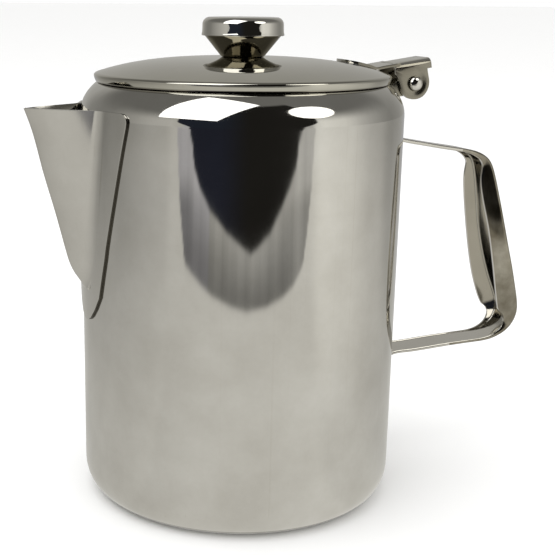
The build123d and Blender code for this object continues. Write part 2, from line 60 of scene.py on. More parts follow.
def lathe(name, prof, seg=256, sharp=35.0):
    """Closed (r, z) outline turned about Z. Points on the axis become one vertex."""
    verts, faces, rows = [], [], []
    for r, z in prof:
        if r < 1e-6:
            rows.append([len(verts)])
            verts.append((0, 0, z))
        else:
            rows.append(list(range(len(verts), len(verts) + seg)))
            for i in range(seg):
                a = 2 * math.pi * i / seg
                verts.append((r * math.cos(a), r * math.sin(a), z))
    n = len(rows)
    for k in range(n):
        a, b = rows[k], rows[(k + 1) % n]
        if len(a) == 1 and len(b) == 1:
            continue
        for i in range(seg):
            j = (i + 1) % seg
            if len(a) == 1:
                faces.append((a[0], b[j], b[i]))
            elif len(b) == 1:
                faces.append((a[i], a[j], b[0]))
            else:
                faces.append((a[i], a[j], b[j], b[i]))
    return new_object(name, verts, faces, sharp=sharp)


def arc(cr, cz, rr, rz, a0, a1, n, skip_first=False):
    out = []
    for i in range(1 if skip_first else 0, n + 1):
        a = math.radians(a0 + (a1 - a0) * i / n)
        out.append((cr + rr * math.cos(a), cz + rz * math.sin(a)))
    return out


def seg_pts(p, q, n):
    return [(p[0] + (q[0] - p[0]) * i / n, p[1] + (q[1] - p[1]) * i / n) for i in range(1, n)]


def spline_resample(pts, n, dims=2):
    """Natural cubic spline through pts, by chord length, sampled n times."""
    P = np.array(pts, float)
    d = np.concatenate([[0], np.cumsum(np.linalg.norm(np.diff(P[:, :dims], axis=0), axis=1))])
    m = len(P)
    h = np.diff(d)
    A = np.zeros((m, m))
    B = np.zeros((m, P.shape[1]))
    A[0, 0] = A[-1, -1] = 1
    for i in range(1, m - 1):
        A[i, i - 1], A[i, i], A[i, i + 1] = h[i - 1], 2 * (h[i - 1] + h[i]), h[i]
        B[i] = 6 * ((P[i + 1] - P[i]) / h[i] - (P[i] - P[i - 1]) / h[i - 1])
    M = np.linalg.solve(A, B)
    out = []
    for t in np.linspace(0, d[-1], n):
        i = min(max(int(np.searchsorted(d, t) - 1), 0), m - 2)
        a, b = (d[i + 1] - t) / h[i], (t - d[i]) / h[i]
        out.append(a * P[i] + b * P[i + 1] + ((a ** 3 - a) * M[i] + (b ** 3 - b) * M[i + 1]) * h[i] ** 2 / 6)
    return np.array(out)


# ---------------------------------------------------------------- materials


def nodes_of(mat):
    mat.use_nodes = True
    nt = mat.node_tree
    nt.nodes.clear()
    out = nt.nodes.new("ShaderNodeOutputMaterial")
    bsdf = nt.nodes.new("ShaderNodeBsdfPrincipled")
    nt.links.new(bsdf.outputs[0], out.inputs[0])
    return nt, bsdf


def steel(name, dark=(0.60, 0.585, 0.55), light=(0.70, 0.685, 0.645), rough=(0.06, 0.14), grain=(14, 14, 900), grain_bump=0.02, wave=0.10, wave_scale=26.0,
          aniso=0.0, radial=False, smudge=7.0, scratch=0.5):
    """Stainless sheet: mirror or satin polish, with polishing grain, faint scratches, hazy patches and slightly uneven sheet."""
    mat = bpy.data.materials.new(name)
    nt, b = nodes_of(mat)
    L = nt.links.new
    tc = nt.nodes.new("ShaderNodeTexCoord")
    b.inputs["Metallic"].default_value = 1.0
    if aniso:
        b.inputs["Anisotropic"].default_value = aniso
    # hazy patches
    n1 = nt.nodes.new("ShaderNodeTexNoise")
    n1.inputs["Scale"].default_value = smudge * 4
    n1.inputs["Detail"].default_value = 6
    n1.inputs["Roughness"].default_value = 0.6
    L(tc.outputs["Object"], n1.inputs["Vector"])
    r1 = nt.nodes.new("ShaderNodeValToRGB")
    r1.color_ramp.elements[0].position = 0.34
    r1.color_ramp.elements[1].position = 0.72
    r1.color_ramp.elements[0].color = (*dark, 1)
    r1.color_ramp.elements[1].color = (*light, 1)
    L(n1.outputs["Fac"], r1.inputs["Fac"])
    # polishing grain: long fine lines
    mp = nt.nodes.new("ShaderNodeMapping")
    mp.inputs["Scale"].default_value = grain
    L(tc.outputs["Object"], mp.inputs["Vector"])
    n2 = nt.nodes.new("ShaderNodeTexNoise")
    n2.inputs["Scale"].default_value = 6.0
    n2.inputs["Detail"].default_value = 4
    n2.inputs["Roughness"].default_value = 0.7
    L(mp.outputs[0], n2.inputs["Vector"])
    # rare scratches
    mp3 = nt.nodes.new("ShaderNodeMapping")
    mp3.inputs["Scale"].default_value = (grain[0] * 5, grain[1] * 5, grain[2] * 0.16)
    mp3.inputs["Rotation"].default_value = (0.35, 0.5, 0.2)
    L(tc.outputs["Object"], mp3.inputs["Vector"])
    n3 = nt.nodes.new("ShaderNodeTexNoise")
    n3.inputs["Scale"].default_value = 9.0
    n3.inputs["Detail"].default_value = 2
    L(mp3.outputs[0], n3.inputs["Vector"])
    r3 = nt.nodes.new("ShaderNodeMapRange")
    r3.inputs["From Min"].default_value = 0.66
    r3.inputs["From Max"].default_value = 0.80
    r3.inputs["To Min"].default_value = 0.0
    r3.inputs["To Max"].default_value = scratch
    L(n3.outputs["Fac"], r3.inputs["Value"])
    # roughness
    add = nt.nodes.new("ShaderNodeMath")
    add.operation = "ADD"
    L(n1.outputs["Fac"], add.inputs[0])
    mul = nt.nodes.new("ShaderNodeMath")
    mul.operation = "MULTIPLY"
    L(n2.outputs["Fac"], mul.inputs[0])
    mul.inputs[1].default_value = 0.5
    L(mul.outputs[0], add.inputs[1])
    rr = nt.nodes.new("ShaderNodeMapRange")
    rr.inputs["From Min"].default_value = 0.45
    rr.inputs["From Max"].default_value = 1.05
    rr.inputs["To Min"].default_value = rough[0]
    rr.inputs["To Max"].default_value = rough[1]
    L(add.outputs[0], rr.inputs["Value"])
    L(rr.outputs[0], b.inputs["Roughness"])
    # colour: patches, slightly darkened by scratches
    mixc = nt.nodes.new("ShaderNodeMix")
    mixc.data_type = "RGBA"
    mixc.blend_type = "MULTIPLY"
    mixc.inputs["B"].default_value = (0.90, 0.89, 0.86, 1)
    L(r3.outputs[0], mixc.inputs["Factor"])
    L(r1.outputs["Color"], mixc.inputs["A"])
    L(mixc.outputs["Result"], b.inputs["Base Color"])
    # bump: uneven sheet, then grain
    n4 = nt.nodes.new("ShaderNodeTexNoise")
    n4.inputs["Scale"].default_value = wave_scale
    n4.inputs["Detail"].default_value = 1.5
    L(tc.outputs["Object"], n4.inputs["Vector"])
    b1 = nt.nodes.new("ShaderNodeBump")
    b1.inputs["Strength"].default_value = wave
    b1.inputs["Distance"].default_value = 0.0006
    L(n4.outputs["Fac"], b1.inputs["Height"])
    b2 = nt.nodes.new("ShaderNodeBump")
    b2.inputs["Strength"].default_value = grain_bump
    b2.inputs["Distance"].default_value = 0.0002
    L(n2.outputs["Fac"], b2.inputs["Height"])
    L(b1.outputs[0], b2.inputs["Normal"])
    L(b2.outputs[0], b.inputs["Normal"])
    return mat


def put(obj, mat):
    obj.data.materials.clear()
    obj.data.materials.append(mat)
    for p in obj.data.polygons:
        p.material_index = 0


M_BODY = steel("body_steel", dark=(0.560, 0.546, 0.508), light=(0.668, 0.657, 0.624), grain=(22, 22, 1.4), grain_bump=0.02, rough=(0.03, 0.075), wave=0.05, wave_scale=22)
M_LID = steel("lid_steel", dark=(0.470, 0.455, 0.400), light=(0.530, 0.515, 0.455), grain=(30, 30, 30), grain_bump=0.02, rough=(0.03, 0.07), wave=0.03, wave_scale=30)
M_SPOUT = steel("spout_steel", dark=(0.565, 0.550, 0.510), light=(0.660, 0.648, 0.612), grain=(20, 20, 1.6), grain_bump=0.03, rough=(0.06, 0.12), wave=0.08, wave_scale=30)
M_HANDLE = steel("handle_steel", dark=(0.600, 0.580, 0.530), light=(0.660, 0.640, 0.590), grain=(8, 60, 8), grain_bump=0.03, rough=(0.06, 0.13), wave=0.12, wave_scale=45)
M_KNOB = steel("knob_steel", dark=(0.600, 0.585, 0.545), light=(0.660, 0.645, 0.600), grain=(40, 40, 40), grain_bump=0.01, rough=(0.02, 0.055), wave=0.04, wave_scale=60)
M_HINGE = steel("hinge_steel", dark=(0.585, 0.570, 0.525), light=(0.655, 0.640, 0.595), grain=(40, 12, 40), grain_bump=0.03, rough=(0.06, 0.13), wave=0.08, wave_scale=80)
# near-black copy of steel: painted shadow in the gap along the spout flange's edge
M_GAP_SHADE = steel("gap_painted_shade", dark=(0.07, 0.065, 0.055), light=(0.13, 0.12, 0.10), grain=(40, 40, 40), grain_bump=0.05, rough=(0.30, 0.45), wave=0.05, wave_scale=60)
# darker copy of the knob steel: painted shade on the cone under the cap
M_CONE_SHADE = steel("cone_painted_shade", dark=(0.20, 0.180, 0.135), light=(0.33, 0.305, 0.240), grain=(40, 40, 40), grain_bump=0.01, rough=(0.03, 0.07), wave=0.04, wave_scale=60)
# darker copy of the handle steel, patchy from near-black brown to mid grey: painted shade and painted dark reflections
# on the grip's flanks
M_FLANK_SHADE = steel("flank_painted_shade", dark=(0.17, 0.150, 0.110), light=(0.46, 0.435, 0.370), grain=(8, 60, 8), grain_bump=0.03, rough=(0.10, 0.20), wave=0.12, wave_scale=45, smudge=14.0)
# darker copy of the hinge steel: painted shade on the hinge ears and lug
M_EAR_SHADE = steel("ear_painted_shade", dark=(0.22, 0.205, 0.165), light=(0.32, 0.305, 0.255), grain=(40, 12, 40), grain_bump=0.04, rough=(0.12, 0.22), wave=0.10, wave_scale=80)
M_IN = steel("works_steel", dark=(0.52, 0.52, 0.50), light=(0.62, 0.62, 0.60), grain=(50, 50, 50), grain_bump=0.08, rough=(0.20, 0.32), wave=0.05, wave_scale=40)

# --------------------------------------------------------------- dimensions
R, T = 65.0, 0.8
BASE_RR, BASE_RZ = 9.65, 12.8
SH_TOP, SH_RR, SH_RZ = 176.29, 25.47, 17.74
NECK_R, NECK_TOP = 56.9, 173.1
LID_R, DOME_R, DOME_Z, DOME_H, DOME_P, RIM_BOTTOM = 59.4, 58.65, 174.2, 6.2, 3.08, 170.9

# ---------------------------------------------------------------- pot shell
neck_a = math.degrees(math.acos((NECK_R + 0.9 - (R - SH_RR)) / SH_RR))
outer = [(0, 0.0)] + seg_pts((0, 0.0), (54.9, 0.0), 10) + [(54.9, 0.0)]
outer += arc(R - BASE_RR, BASE_RZ, BASE_RR, BASE_RZ, -90, 0, 26)
outer += [(R, BASE_RZ + 0.6)] + seg_pts((R, BASE_RZ + 0.6), (R, SH_TOP - SH_RZ - 0.6), 26) + [(R, SH_TOP - SH_RZ - 0.6)]
outer += arc(R - SH_RR, SH_TOP - SH_RZ, SH_RR, SH_RZ, 0, neck_a, 30)
zs = outer[-1][1]
outer += [(NECK_R + 0.55, zs + 0.22), (NECK_R + 0.2, zs + 0.48), (NECK_R + 0.03, zs + 0.85), (NECK_R, zs + 1.25), (NECK_R, NECK_TOP - 0.3), (NECK_R - 0.12, NECK_TOP - 0.08), (NECK_R - 0.3, NECK_TOP)]
inner = [(0, 0.9 + T), (20, 0.9 + T), (40, 0.9 + T), (44.2, 0.9 + T), (45.4, T + 0.1), (46.5, T)]
inner += arc(R - BASE_RR, BASE_RZ, BASE_RR - T, BASE_RZ - T, -90, 0, 16)
inner += [(R - T, BASE_RZ + 0.6)] + seg_pts((R - T, BASE_RZ + 0.6), (R - T, SH_TOP - SH_RZ - 0.6), 14) + [(R - T, SH_TOP - SH_RZ - 0.6)]
inner += arc(R - SH_RR, SH_TOP - SH_RZ, SH_RR - T, SH_RZ - T, 0, neck_a + 1.0, 16)
inner += [(NECK_R - T, zs + 0.6), (NECK_R - T, NECK_TOP - 0.3), (NECK_R - T + 0.12, NECK_TOP - 0.06), (NECK_R - T + 0.3, NECK_TOP)]
body = lathe("pot_shell", outer + inner[::-1], seg=288, sharp=50)


def interp(table, z):
    for i in range(len(table) - 1):
        v0, z0 = table[i]
        v1, z1 = table[i + 1]
        if z <= z1 or i == len(table) - 2:
            return v0 + (v1 - v0) * (z - z0) / (z1 - z0)


RIDGE = [(62.0, 84.0), (65.9, 90.2), (70.6, 97.1), (73.9, 106.3), (78.0, 122.6), (82.4, 138.8), (86.3, 154.5), (89.3, 163.0)]
SIDE = [(0.6, 84.0), (3.0, 90.2), (6.2, 97.1), (9.3, 106.3), (12.0, 122.6), (14.3, 138.8), (16.6, 154.5), (17.8, 163.0)]
FLANGE = [(0.8, 77.35), (3.2, 78.0), (5.6, 79.6), (9.2, 83.6), (12.6, 89.0), (16.6, 105.0), (17.6, 110.0), (22.2, 129.2), (26.4, 147.7), (28.6, 157.0), (28.9, 159.0), (28.5, 160.6), (27.2, 161.7), (26.2, 162.0)]

# strainer holes behind the spout
cutters = []
for row, z in enumerate([104, 112, 120, 128, 136, 144, 152]):
    half = interp(SIDE, z) * 0.62
    n = 1 + 2 * int(half / 5.2) if row % 2 == 0 else 2 * max(1, int((half + 2.6) / 5.2))
    for i in range(n):
        cutters.append(((i - (n - 1) / 2.0) * 5.2, z))
cv, cf = [], []
for y, z in cutters:
    base = len(cv)
    for x in (-R - 4, -R + 6):
        for k in range(20):
            a = 2 * math.pi * k / 20
            cv.append((x, y + 1.6 * math.cos(a), z + 1.6 * math.sin(a)))
    for k in range(20):
        j = (k + 1) % 20
        cf.append((base + k, base + j, base + 20 + j, base + 20 + k))
    cf.append(tuple(base + k for k in range(20))[::-1])
    cf.append(tuple(base + 20 + k for k in range(20)))
cutter = new_object("cutter", cv, cf, smooth=False)
mod = body.modifiers.new("holes", "BOOLEAN")
mod.operation = "DIFFERENCE"
mod.solver = "EXACT"
mod.object = cutter
dg = bpy.context.evaluated_depsgraph_get()
cut_mesh = bpy.data.meshes.new_from_object(body.evaluated_get(dg))
body.modifiers.clear()
if len(cut_mesh.polygons) > 1000:
    body.data = cut_mesh
bpy.data.objects.remove(cutter)
body.data.shade_smooth()
body.data.set_sharp_from_angle(angle=math.radians(50))
put(body, M_BODY)
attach(body, "pot")
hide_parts("pot_body")

# -------------------------------------------------------------------- spout
SP_T = 0.9
BASE_OUT = R + 0.06 + SP_T
ridge_s = spline_resample([(z, v) for v, z in RIDGE], 240, 1)
side_s = spline_resample([(z, v) for v, z in SIDE], 240, 1)
fl_s = np.array([(z, a) for a, z in FLANGE], float)


def at(tab, z):
    return float(np.interp(z, tab[:, 0], tab[:, 1]))


def cone_r(phi, z):
    """Distance from the pot's axis to the spout's outer face, in the direction phi off the spout's own."""
    ridge, side = at(ridge_s, z), at(side_s, z)
    xb = math.sqrt(max(66.1 ** 2 - side ** 2, 1))
    span = ridge - xb
    if span < 0.05:
        return 0.0
    t = math.tan(abs(phi))
    lo, hi = -0.6, 1.0
    lo = 0.0
    hi = 1.6

    def f(s):
        return side * s ** 0.8 - t * (ridge - span * s)
    if f(hi) < 0:
        return 0.0
    for _ in range(44):
        mid = (lo + hi) / 2
        if f(mid) < 0:
            lo = mid
        else:
            hi = mid
    s = (lo + hi) / 2
    x = ridge - span * s
    return math.hypot(x, t * x)


def soft_max(a, b, k):
    h = max(k - abs(a - b), 0.0) / k
    return max(a, b) + h * h * k * 0.25


def spout_point(w, z, a_max):
    phi = math.copysign(abs(w) ** 1.5, w) * a_max
    r = soft_max(BASE_OUT, cone_r(phi, z), 2.6)
    return (-r * math.cos(phi), r * math.sin(phi), z)


rows, cols = 170, 141
zrow = [77.36 + (162.0 - 77.36) * (i / (rows - 1)) for i in range(rows)]
zrow = sorted(set([77.5, 77.7, 78.0] + zrow + [161.2, 161.5, 161.8, 161.95]))
fl_by_z = fl_s[np.argsort(fl_s[:, 0])]
verts, faces = [], []
for z in zrow:
    a_max = math.radians(max(float(np.interp(z, fl_by_z[:, 0], fl_by_z[:, 1])), 0.05))
    for j in range(cols):
        verts.append(spout_point(-1 + 2 * j / (cols - 1), z, a_max))
nr = len(zrow)
for i in range(nr - 1):
    for j in range(cols - 1):
        a = i * cols + j
        faces.append((a, a + 1, a + cols + 1, a + cols))
spout = new_object("spout_sheet", verts, faces, sharp=60)
# outward normals, then thickness inwards
bm = bmesh.new()
bm.from_mesh(spout.data)
bm.faces.ensure_lookup_table()
f0 = max(bm.faces, key=lambda f: -f.calc_center_median().x)
if f0.normal.x > 0:
    bmesh.ops.reverse_faces(bm, faces=bm.faces)
bm.to_mesh(spout.data)
bm.free()
sol = spout.modifiers.new("thickness", "SOLIDIFY")
sol.thickness = SP_T * MM
sol.offset = -1.0
sol.use_even_offset = True
bev = spout.modifiers.new("edge", "BEVEL")
bev.width = 0.34 * MM
bev.segments = 2
bev.limit_method = "ANGLE"
bev.angle_limit = math.radians(60)
dg = bpy.context.evaluated_depsgraph_get()
spout.data = bpy.data.meshes.new_from_object(spout.evaluated_get(dg))
spout.modifiers.clear()
# keep the flange's inner face just off the pot
co = np.array([v.co for v in spout.data.vertices])
rad = np.hypot(co[:, 0], co[:, 1])
for v, rr in zip(spout.data.vertices, rad):
    if rr < (R + 0.04) * MM:
        k = (R + 0.04) * MM / rr
        v.co.x *= k
        v.co.y *= k
spout.data.shade_smooth()
spout.data.set_sharp_from_angle(angle=math.radians(50))
put(spout, M_SPOUT)
# the flange's edge faces next to the pot get the near-black steel: a painted contact shadow between flange and pot
spout.data.materials.append(M_GAP_SHADE)
for p in spout.data.polygons:
    q = math.hypot(p.center.x, p.center.y)
    across_n = (p.normal.x * p.center.x + p.normal.y * p.center.y) / q
    if across_n < 0.30 and p.normal.z < 0.6 and q < (R + 1.5) * MM and p.center.z < 0.1612:
        p.material_index = 1
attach(spout, "pot")
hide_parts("spout")

# ------------------------------------------------------------------- handle
WEB = [(66.3, 150.6), (68.4, 147.6), (72.5, 146.0), (79.5, 144.7), (91.8, 142.5), (102.3, 140.8), (109.4, 139.0), (114.4, 135.6), (117.0, 130.0), (118.9, 122.8), (122.2, 108.0), (125.7, 94.4), (127.9, 87.0), (131.1, 77.0), (133.4, 70.0), (134.0, 65.5), (132.6, 60.3), (128.4, 55.8), (121.9, 53.3), (113.5, 52.6), (94.4, 51.8), (78.0, 51.0), (71.5, 50.5), (68.4, 49.0), (66.3, 46.2)]
DEEP = [1.2, 1.2, 1.2, 1.25, 1.35, 1.6, 2.6, 4.4, 6.7, 7.8, 7.9, 8.6, 9.2, 9.8, 9.7, 8.4, 5.6, 3.2, 1.9, 1.45, 1.3, 1.3, 1.2, 1.2, 1.2]
WIDE = [14.9, 14.9, 14.9, 14.9, 14.9, 14.9, 15.4, 16.2, 17.4, 19.0, 22.6, 24.0, 23.9, 22.0, 19.6, 18.2, 16.8, 15.8, 15.2, 14.9, 14.9, 14.9, 14.9, 14.9, 14.9]
H_T = 1.2
full = spline_resample([(x, z, d, w) for (x, z), d, w in zip(WEB, DEEP, WIDE)], 260)
verts, faces, sec_n = [], [], None
for i in range(len(full)):
    x, z, d, w = full[i]
    a, b2 = full[max(i - 1, 0)], full[min(i + 1, len(full) - 1)]
    dx, dz = b2[0] - a[0], b2[1] - a[1]
    ln = math.hypot(dx, dz)
    nx, nz = dz / ln, -dx / ln
    w = w / 2
    d = max(d, H_T + 0.3)
    r = min(1.8, max(d - 0.6, 0.5))         # outer bend from the web into each flange
    ri = max(r - H_T, 0.12)
    e = 0.14
    quarter = [math.pi / 2 * k / 10 for k in range(11)]
    prof = [(d, -w + e), (d - e, -w)]
    prof += [(r - r * math.sin(t), -w + r - r * math.cos(t)) for t in quarter]
    prof += [(0.0, -w + r + (2 * w - 2 * r) * k / 8) for k in range(1, 8)]
    prof += [(r - r * math.cos(t), w - r + r * math.sin(t)) for t in quarter]
    prof += [(d - e, w), (d, w - e), (d, w - H_T + e), (d - e, w - H_T)]
    prof += [(H_T + ri - ri * math.sin(t), w - H_T - ri + ri * math.cos(t)) for t in quarter]
    prof += [(H_T, w - H_T - ri - (2 * w - 2 * H_T - 2 * ri) * k / 8) for k in range(1, 8)]
    prof += [(H_T + ri - ri * math.cos(t), -w + H_T + ri - ri * math.sin(t)) for t in quarter]
    prof += [(d - e, -w + H_T), (d, -w + H_T - e)]
    if sec_n is None:
        sec_n = len(prof)
    assert len(prof) == sec_n, (len(prof), sec_n)
    for u, v in prof:
        verts.append((x + nx * u, v * (1 - 0.22 * u / w), z + nz * u))
for i in range(len(full) - 1):
    for k in range(sec_n):
        a, b2 = i * sec_n + k, i * sec_n + (k + 1) % sec_n
        faces.append((a, b2, b2 + sec_n, a + sec_n))
faces.append(tuple(range(sec_n))[::-1])
faces.append(tuple((len(full) - 1) * sec_n + k for k in range(sec_n)))
handle = new_object("handle_strip", verts, faces, sharp=40)
put(handle, M_HANDLE)
# the grip's outward flank faces get the darker steel: painted shade and painted dark reflections
handle.data.materials.append(M_FLANK_SHADE)
for p in handle.data.polygons:
    if p.normal.y * p.center.y > 0.7 * abs(p.center.y) and abs(p.center.y) > 5.5 * MM and p.center.x > 100 * MM:
        p.material_index = 1
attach(handle, "pot")
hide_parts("handle")

# ---------------------------------------------------------------------- lid


def dome(r):
    return DOME_Z + DOME_H * (1 - (r / DOME_R) ** DOME_P)


zr = dome(57.0)
prof = [(0, dome(0) - 0.0)] + [(r, dome(r)) for r in np.linspace(2.0, 57.0, 46)]
prof += [(57.55, zr - 0.17), (58.0, zr - 0.30), (58.4, zr - 0.42), (58.8, zr - 0.62), (59.12, zr - 0.86), (59.32, zr - 1.12), (LID_R, zr - 1.45), (59.38, zr - 1.75), (59.30, zr - 2.2), (59.17, zr - 2.7), (58.98, zr - 3.2),
         (58.8, zr - 3.6), (58.6, RIM_BOTTOM), (58.4, RIM_BOTTOM + 0.03), (58.22, RIM_BOTTOM + 0.2), (58.12, RIM_BOTTOM + 0.5), (58.1, zr - 1.5), (57.9, zr - 1.3), (57.5, zr - 1.2)]
prof += [(r, dome(r) - T * 1.02) for r in np.linspace(56.6, 2.7, 30)] + [(0, dome(0) - T * 1.02)]
lid = lathe("lid_dome", prof, seg=256, sharp=50)
put(lid, M_LID)
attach(lid, "lid")
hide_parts("lid_shell")

# --------------------------------------------------------------------- knob
CAP_TOP, CONE_Z1, CAP_R = 196.0, 188.7, 16.5
kz = 180.4 + 0.06
prof = [(0, CAP_TOP)] + [(r, CAP_TOP - 0.15 * (r / 13.2) ** 2) for r in (3, 6, 9, 11, 12.3)] + arc(13.35, CAP_TOP - 2.95, 2.82, 2.78, 90, 2, 14)
prof += [(16.2, CAP_TOP - 4.0), (16.24, CAP_TOP - 5.2), (16.3, CAP_TOP - 6.0), (16.42, CONE_Z1 + 0.75), (CAP_R, CONE_Z1 + 0.42), (16.48, CONE_Z1 + 0.16), (16.36, CONE_Z1 + 0.02), (16.15, CONE_Z1), (15.45, CONE_Z1 + 0.1), (15.3, CONE_Z1 + 0.3), (15.3, CONE_Z1 + 1.2)]
prof += [(15.35, CAP_TOP - 3.1), (15.1, CAP_TOP - 2.1), (14.3, CAP_TOP - 1.3), (12.5, CAP_TOP - 0.95), (0, CAP_TOP - 0.8)]
cap = lathe("knob_top", prof, seg=160, sharp=50)
prof = [(2.7, kz), (8.2, kz), (8.55, kz + 0.1), (8.8, kz + 0.32)] + seg_pts((8.8, kz + 0.32), (15.02, CONE_Z1 - 0.35), 10) + [(15.02, CONE_Z1 - 0.35), (15.16, CONE_Z1 + 0.1), (15.18, CONE_Z1 + 0.9), (14.4, CONE_Z1 + 0.9), (14.2, CONE_Z1), (8.2, kz + 0.8), (2.7, kz + 0.8)]
cone = lathe("knob_stem", prof, seg=160, sharp=50)
for o, n in ((cap, "knob_cap"), (cone, "knob_cone")):
    put(o, M_KNOB)
    # the cone takes the darker steel, which is painted shade under the cap's overhang
    if n == "knob_cone":
        put(o, M_CONE_SHADE)
    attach(o, "lid")
    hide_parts(n)

# -------------------------------------------------------------------- hinge


def rounded_copy(node, name, body_name, width=0.28, mat=None):
    src = N[node]
    me = src.data.copy()
    me.name = name
    o = bpy.data.objects.new(name, me)
    bpy.context.scene.collection.objects.link(o)
    bm = bmesh.new()
    bm.from_mesh(me)
    bmesh.ops.remove_doubles(bm, verts=bm.verts, dist=2e-6)
    bmesh.ops.dissolve_degenerate(bm, edges=bm.edges, dist=2e-6)
    bmesh.ops.recalc_face_normals(bm, faces=bm.faces)
    bm.to_mesh(me)
    bm.free()
    m = o.modifiers.new("edge", "BEVEL")
    m.width = width * MM
    m.segments = 3
    m.limit_method = "ANGLE"
    m.angle_limit = math.radians(40)
    m.use_clamp_overlap = True
    dg = bpy.context.evaluated_depsgraph_get()
    o.data = bpy.data.meshes.new_from_object(o.evaluated_get(dg))
    o.modifiers.clear()
    o.data.shade_smooth()
    o.data.set_sharp_from_angle(angle=math.radians(32))
    put(o, mat)
    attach(o, body_name)
    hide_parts(node)
    return o


# faces square to the pin axis, the ears and the lug's sides, get the darker steel as painted shade
for o in (rounded_copy("hinge_leaf", "leaf", "lid", 0.22, M_HINGE), rounded_copy("hinge_bracket", "bracket", "pot", 0.2, M_HINGE)):
    o.data.materials.append(M_EAR_SHADE)
    for p in o.data.polygons:
        if abs(p.normal.y) > 0.8:
            p.material_index = 1
rounded_copy("hinge_pin", "pin", "pot", 0.12, M_KNOB)

# ----------------------------------------------------- pieces carried over
for n in ("lid_skirt", "knob_bush", "knob_washer", "knob_screw", "pump_tube", "pump_foot", "basket_stop", "basket", "basket_sleeve", "spreader"):
    put(N[n], M_IN)

# -------------------------------------------------------------------- stage
AZ = math.radians(22.0)            # the handle's turn away from the camera's sideways direction


def stage_to_part(x, y):
    """Point given with the camera straight in front (towards -Y), turned into the part's frame."""
    c, s = math.cos(-AZ), math.sin(-AZ)
    return (c * x - s * y, s * x + c * y)


def stage_mesh(name, verts, faces):
    """Mesh given in millimetres with the camera towards -Y, turned into the part's frame."""
    out = []
    for x, y, z in verts:
        a, b = stage_to_part(x, y)
        out.append((a * MM, b * MM, z * MM))
    me = bpy.data.meshes.new(name)
    me.from_pydata(out, [], faces)
    o = bpy.data.objects.new(name, me)
    bpy.context.scene.collection.objects.link(o)
    return o


def polar(name, radii, z, seg):
    v, f = [], []
    for r in radii:
        for i in range(seg):
            a = 2 * math.pi * i / seg
            v.append((r * math.sin(a), -r * math.cos(a), z))
    for k in range(len(radii) - 1):
        for i in range(seg):
            j = (i + 1) % seg
            f.append((k * seg + i, k * seg + j, (k + 1) * seg + j, (k + 1) * seg + i))
    return stage_mesh(name, v, f)


def floor_mat():
    mat = bpy.data.materials.new("pale_floor")
    nt, b = nodes_of(mat)
    b.inputs["Roughness"].default_value = 0.75
    n = nt.nodes.new("ShaderNodeTexNoise")
    n.inputs["Scale"].default_value = 14
    n.inputs["Detail"].default_value = 4
    tc = nt.nodes.new("ShaderNodeTexCoord")
    nt.links.new(tc.outputs["Object"], n.inputs["Vector"])
    r = nt.nodes.new("ShaderNodeValToRGB")
    r.color_ramp.elements[0].color = (0.87, 0.87, 0.865, 1)
    r.color_ramp.elements[1].color = (0.90, 0.90, 0.895, 1)
    nt.links.new(n.outputs["Fac"], r.inputs["Fac"])
    nt.links.new(r.outputs["Color"], b.inputs["Base Color"])
    return mat


pale = polar("pale_floor", [0.4, 80, 160, 320, 700, 1500, 4000, 12000, 40000], -0.15, 96)
put(pale, floor_mat())
pale.visible_glossy = False


def lut(x, pts):
    xs = [p[0] for p in pts]
    ys = [p[1] for p in pts]
    return float(np.interp(x, xs, ys))


def sstep(x, a, b):
    t = min(max((x - a) / (b - a), 0.0), 1.0)
    return t * t * (3 - 2 * t)


# what the polished metal sees of the floor: a pale table, its grey front edge, then the dark room behind the camera
TABLE_EDGE = [(-43.5, 2300), (-42, 1250), (-40.5, 850), (-38, 662), (-35.6, 533), (-30, 498), (-24, 467), (-16.7, 438), (-4, 411), (5.6, 400), (18.1, 411), (29.4, 438), (36, 468), (39.7, 501), (42.7, 537), (45.6, 667), (48.3, 911), (50, 1400), (51, 2300)]
DARK_EDGE = [(-35, 2200), (-33.7, 1422), (-31.9, 1289), (-30.6, 1073), (-26.3, 907), (-19.5, 776), (-7.8, 664), (3, 600), (7.8, 578), (12, 600), (20.4, 664), (27.4, 781), (33, 914), (37.6, 1083), (39.2, 1355), (41.4, 1499), (43.5, 2200)]
TONE_NEAR = [(-180, .64), (-150, .62), (-127, .57), (-104, .60), (-83, .60), (-65, .63), (-48, .68), (-20, .75), (0, .77), (30, .79), (60, .82), (80, .77), (98, .68), (127, .58), (150, .62), (180, .64)]
TONE_FAR = [(-180, .46), (-150, .42), (-127, .30), (-104, .27), (-83, .42), (-65, .55), (-48, .66), (-20, .74), (0, .76), (30, .79), (60, .80), (80, .72), (98, .50), (127, .36), (150, .42), (180, .46)]


GAIN_RIGHT = [(100, .92), (200, .97), (300, 1.09), (420, 1.16), (830, 1.24), (1200, 1.22), (1500, 1.15)]
GAIN_LEFT = [(130, 1.05), (200, 1.04), (400, .99), (530, .93), (800, .86), (1200, .92), (1450, .86)]


